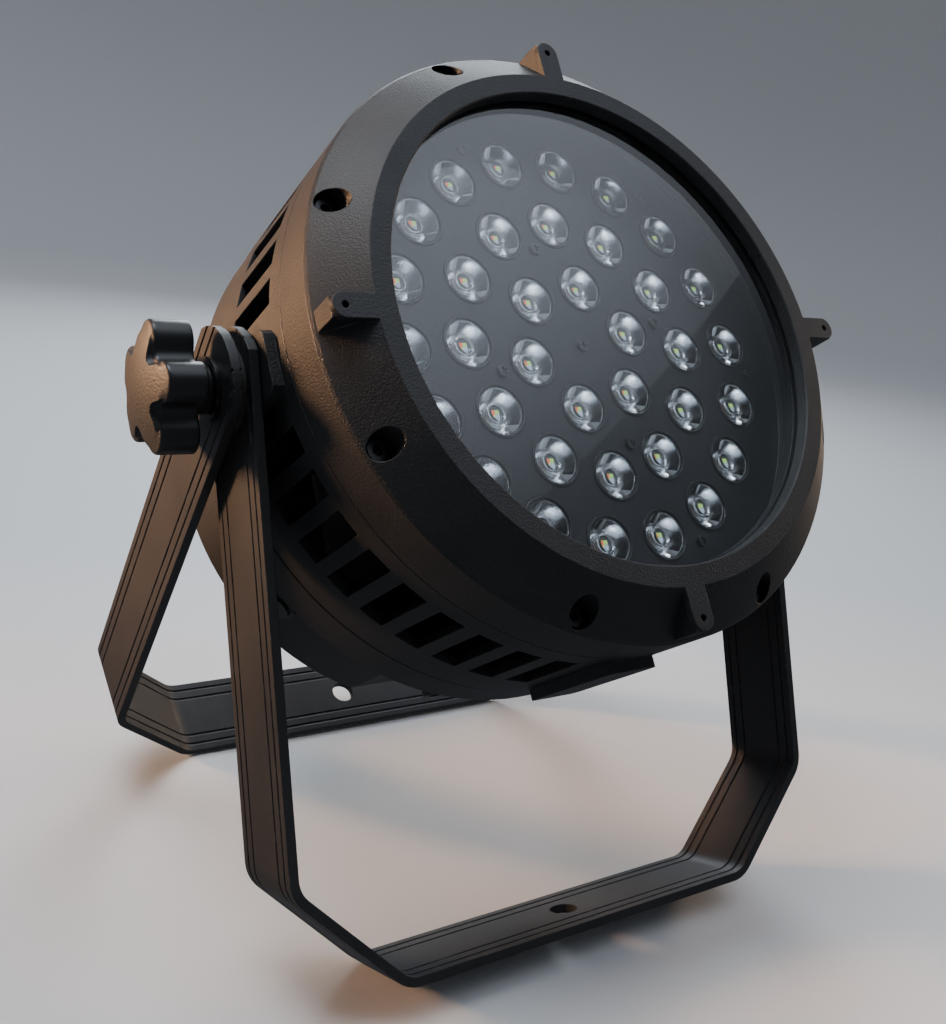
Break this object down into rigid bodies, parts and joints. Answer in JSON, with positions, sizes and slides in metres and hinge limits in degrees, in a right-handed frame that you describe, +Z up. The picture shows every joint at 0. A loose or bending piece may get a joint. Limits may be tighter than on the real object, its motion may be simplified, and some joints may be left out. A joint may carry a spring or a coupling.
{
  "type": "par can light",
  "caption": "Round LED par can light head with vented housing, tilting between two folding U brackets clamped by star knobs.",
  "frame": {"origin": "on the floor under the middle of the bounding box", "axes": "+Z up, -Y the way the lamp looks, X along the pivot line"},
  "size_m": [0.3694, 0.3122, 0.3918],
  "materials": {
    "housing_black": "fine textured black powder coat",
    "bracket_black": "fine textured black powder coat",
    "knob_plastic": "satin black, fine grain",
    "screw_steel": "black oxide",
    "stud_steel": "bright zinc",
    "front_glass": "clear tempered",
    "seal_rubber": "matt",
    "mask_black": "matt black",
    "lens_clear": "clear moulded acrylic",
    "holder_black": "matt",
    "led_package": "gloss",
    "board_white": "solder mask",
    "sink_aluminium": "black anodised",
    "panel_black": "satin",
    "display_smoke": "smoked",
    "button_grey": "satin",
    "socket_black": "satin",
    "contact_brass": "bright",
    "psu_metal": "plain sheet",
    "board_green": "solder mask",
    "friction_fibre": "matt fibre"
  },
  "bodies": {
    "front_bracket": {"front_bracket": "bracket_black", "spacer_disc_left": "friction_fibre", "spacer_disc_right": "friction_fibre"},
    "head": {"front_bezel": "housing_black", "bezel_screws": "screw_steel", "front_glass": "front_glass", "glass_seal": "seal_rubber", "glass_clamp_ring": "mask_black", "body_seal": "seal_rubber", "mask_plate": "mask_black", "mask_screws": "screw_steel", "lenses": "lens_clear", "lens_holders": "holder_black", "led_emitters": "led_package", "led_board": "board_white", "heat_sink": "sink_aluminium", "body_housing": "housing_black", "rear_housing": "housing_black", "rear_housing_screws": "screw_steel", "rear_seal": "seal_rubber", "rear_cover": "housing_black", "rear_cover_screws": "screw_steel", "control_panel": "panel_black", "display_window": "display_smoke", "power_sockets": "socket_black", "data_sockets": "socket_black", "socket_pins": "contact_brass", "breather_valve": "socket_black", "safety_eye": "stud_steel", "power_supply": "psu_metal", "control_board": "board_green", "board_pillars": "stud_steel", "friction_disc_left": "friction_fibre", "friction_disc_right": "friction_fibre"},
    "rear_bracket": {"rear_bracket": "bracket_black"},
    "left_washer": {"clamp_washer_left": "screw_steel"},
    "right_washer": {"clamp_washer_right": "screw_steel"},
    "left_knob": {"clamp_knob_left": "knob_plastic", "clamp_stud_left": "stud_steel"},
    "right_knob": {"clamp_knob_right": "knob_plastic", "clamp_stud_right": "stud_steel"},
    "button_menu": {"button_menu": "button_grey"},
    "button_down": {"button_down": "button_grey"},
    "button_up": {"button_up": "button_grey"},
    "button_enter": {"button_enter": "button_grey"}
  },
  "joints": [
    {"name": "head_tilt", "type": "hinge", "parent": "front_bracket", "child": "head", "pos_m": [0, -0.01405, 0.23809], "axis": [1, 0, 0], "range_deg": [-53, 127]},
    {"name": "bracket_spread", "type": "hinge", "parent": "front_bracket", "child": "rear_bracket", "pos_m": [0, -0.01405, 0.23809], "axis": [1, 0, 0], "range_deg": [-53, 60]},
    {"name": "left_washer_slide", "type": "slide", "parent": "front_bracket", "child": "left_washer", "axis": [-1, 0, 0], "range_m": [0, 0.00225]},
    {"name": "left_knob_turn", "type": "hinge", "parent": "left_washer", "child": "left_knob", "pos_m": [0, -0.01405, 0.23809], "axis": [-1, 0, 0], "range_deg": [0, 540]},
    {"name": "right_washer_slide", "type": "slide", "parent": "front_bracket", "child": "right_washer", "axis": [1, 0, 0], "range_m": [0, 0.00225]},
    {"name": "right_knob_turn", "type": "hinge", "parent": "right_washer", "child": "right_knob", "pos_m": [0, -0.01405, 0.23809], "axis": [1, 0, 0], "range_deg": [0, 540]},
    {"name": "menu_press", "type": "slide", "parent": "head", "child": "button_menu", "axis": [0, -0.7986, 0.6018], "range_m": [0, 0.0012], "stiffness_N_per_m": 400},
    {"name": "down_press", "type": "slide", "parent": "head", "child": "button_down", "axis": [0, -0.7986, 0.6018], "range_m": [0, 0.0012], "stiffness_N_per_m": 400},
    {"name": "up_press", "type": "slide", "parent": "head", "child": "button_up", "axis": [0, -0.7986, 0.6018], "range_m": [0, 0.0012], "stiffness_N_per_m": 400},
    {"name": "enter_press", "type": "slide", "parent": "head", "child": "button_enter", "axis": [0, -0.7986, 0.6018], "range_m": [0, 0.0012], "stiffness_N_per_m": 400}
  ],
  "couplings": [
    {"joint": "left_washer_slide", "follows": "left_knob_turn", "m_per_rad": 0.00023873},
    {"joint": "right_washer_slide", "follows": "right_knob_turn", "m_per_rad": 0.00023873}
  ]
}
